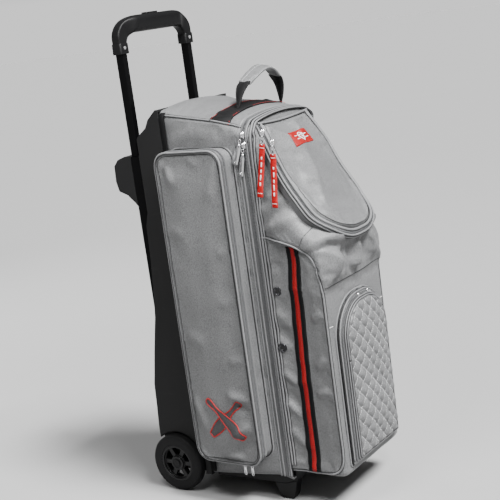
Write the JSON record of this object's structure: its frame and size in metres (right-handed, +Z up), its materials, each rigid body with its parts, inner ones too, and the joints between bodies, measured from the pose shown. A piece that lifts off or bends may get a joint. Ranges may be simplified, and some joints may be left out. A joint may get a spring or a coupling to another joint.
{
  "type": "bowling ball bag",
  "caption": "Upright roller bag for bowling balls with stacked ball compartments, side pockets, quilted front pocket, sloping lid and telescoping handle.",
  "frame": {"origin": "on the floor under the centre of the bounding box", "axes": "+Z up, +Y to the back where the handle is, +X to the right of someone who faces the front"},
  "size_m": [0.336, 0.5001, 1.028],
  "materials": {
    "grey_fabric": "woven polyester, matt",
    "black_webbing": "woven nylon webbing",
    "red_fabric": "woven, satin",
    "shell_plastic": "moulded, fine grain",
    "tube_black": "gloss black anodised",
    "grip_plastic": "soft gloss",
    "zinc": "polished",
    "steel": "zinc plated",
    "tyre_rubber": "moulded rubber",
    "rim_plastic": "moulded nylon",
    "foam": "laminated foam",
    "board": "pressed board",
    "zip_tape": "knitted zip tape"
  },
  "bodies": {
    "bag": {"back_shell": "shell_plastic", "handle_housing": "shell_plastic", "outer_tube_left": "tube_black", "outer_tube_right": "tube_black", "tube_bracket": "steel", "shell_binding": "black_webbing", "shell_screws": "steel", "base_tray": "shell_plastic", "front_foot_left": "shell_plastic", "front_foot_right": "shell_plastic", "axle": "steel", "axle_spacers": "steel", "axle_clips": "steel", "body_case": "grey_fabric", "base_board": "board", "ball_cup_lower": "foam", "ball_cup_middle": "foam", "ball_cup_upper": "foam", "ball_shelf_lower": "board", "ball_shelf_upper": "board", "strap_base": "black_webbing", "main_zip_track": "zip_tape", "pocket_gusset_left": "grey_fabric", "pocket_gusset_right": "grey_fabric", "upper_zip_slider": "zinc"},
    "wheel_left": {"rim_left": "rim_plastic", "tyre_left": "tyre_rubber", "bearings_left": "steel", "hub_cap_left": "shell_plastic"},
    "wheel_right": {"rim_right": "rim_plastic", "tyre_right": "tyre_rubber", "bearings_right": "steel", "hub_cap_right": "shell_plastic"},
    "handle": {"inner_tube_left": "tube_black", "inner_tube_right": "tube_black", "tube_plugs": "shell_plastic", "grip": "grip_plastic", "grip_screws": "steel"},
    "button": {"grip_button": "grip_plastic"},
    "carry_strap": {"strap_webbing": "black_webbing", "strap_pad": "grey_fabric"},
    "door": {"front_case": "grey_fabric", "shoe_shelf": "board", "quilt_gusset": "grey_fabric", "stripes": "black_webbing", "vent_eyelets": "steel"},
    "lid": {"lid_panel": "grey_fabric", "lid_patch": "red_fabric"},
    "quilt_door": {"quilt_panel": "grey_fabric"},
    "quilt_pulls": {"quilt_zip_pulls": "zinc"},
    "side_door_left": {"pocket_door_left": "grey_fabric"},
    "side_door_right": {"pocket_door_right": "grey_fabric"},
    "main_slider": {"main_zip_slider": "zinc"},
    "main_pull": {"main_zip_pull": "zinc"},
    "upper_pull": {"upper_zip_pull": "zinc"},
    "ribbon_rear": {"lid_ribbon_rear": "red_fabric"},
    "ribbon_front": {"lid_ribbon_front": "red_fabric"},
    "pocket_pulls_left": {"pocket_pull_left": "zinc"},
    "pocket_pulls_right": {"pocket_pull_right": "zinc"}
  },
  "joints": [
    {"name": "wheel_spin_left", "type": "hinge", "parent": "bag", "child": "wheel_left", "pos_m": [-0.125, 0.187, 0.0635], "axis": [1, 0, 0], "continuous": true},
    {"name": "wheel_spin_right", "type": "hinge", "parent": "bag", "child": "wheel_right", "pos_m": [0.125, 0.187, 0.0635], "axis": [1, 0, 0], "continuous": true},
    {"name": "handle_slide", "type": "slide", "parent": "bag", "child": "handle", "axis": [0, 0, 1], "range_m": [-0.19, 0]},
    {"name": "button_press", "type": "slide", "parent": "handle", "child": "button", "axis": [0, 0, 1], "range_m": [-0.004, 0], "stiffness_N_per_m": 1500},
    {"name": "carry_strap_fold", "type": "hinge", "parent": "bag", "child": "carry_strap", "pos_m": [0, -0.045, 0.818], "axis": [1, 0, 0], "range_deg": [-52, 75]},
    {"name": "front_open", "type": "hinge", "parent": "bag", "child": "door", "pos_m": [0, -0.101, 0.072], "axis": [1, 0, 0], "range_deg": [0, 24]},
    {"name": "lid_open", "type": "hinge", "parent": "door", "child": "lid", "pos_m": [0, -0.112, 0.79], "axis": [-1, 0, 0], "range_deg": [0, 112]},
    {"name": "quilt_open", "type": "hinge", "parent": "door", "child": "quilt_door", "pos_m": [0, -0.24, 0.092], "axis": [1, 0, 0], "range_deg": [0, 75]},
    {"name": "quilt_pull_swing", "type": "hinge", "parent": "quilt_door", "child": "quilt_pulls", "pos_m": [0.01, -0.2481, 0.4345], "axis": [-1, 0, 0], "range_deg": [0, 80]},
    {"name": "side_open_left", "type": "hinge", "parent": "bag", "child": "side_door_left", "pos_m": [-0.163, 0.097, 0.425], "axis": [0, 0, -1], "range_deg": [0, 95]},
    {"name": "side_open_right", "type": "hinge", "parent": "bag", "child": "side_door_right", "pos_m": [0.163, 0.097, 0.425], "axis": [0, 0, 1], "range_deg": [0, 95]},
    {"name": "main_zip_travel", "type": "slide", "parent": "bag", "child": "main_slider", "axis": [0, 0, 1], "range_m": [-0.6, 0]},
    {"name": "main_pull_swing", "type": "hinge", "parent": "main_slider", "child": "main_pull", "pos_m": [-0.1234, -0.092, 0.7445], "axis": [0, 0.9703, 0.2419], "range_deg": [0, 70]},
    {"name": "upper_pull_swing", "type": "hinge", "parent": "bag", "child": "upper_pull", "pos_m": [-0.1264, -0.09, 0.764], "axis": [0, 0.9205, 0.3907], "range_deg": [0, 80]},
    {"name": "ribbon_rear_swing", "type": "hinge", "parent": "door", "child": "ribbon_rear", "pos_m": [-0.1184, -0.137, 0.769], "axis": [0, 0.989, 0.1478], "range_deg": [0, 80]},
    {"name": "ribbon_front_swing", "type": "hinge", "parent": "door", "child": "ribbon_front", "pos_m": [-0.1184, -0.157, 0.749], "axis": [0, 0.9986, 0.0523], "range_deg": [0, 80]},
    {"name": "pocket_pull_swing_left", "type": "hinge", "parent": "bag", "child": "pocket_pulls_left", "pos_m": [-0.14725, -0.014, 0.094], "axis": [0, 1, 0], "range_deg": [-60, 60]},
    {"name": "pocket_pull_swing_right", "type": "hinge", "parent": "bag", "child": "pocket_pulls_right", "pos_m": [0.14725, -0.014, 0.094], "axis": [0, 1, 0], "range_deg": [-60, 60]}
  ]
}
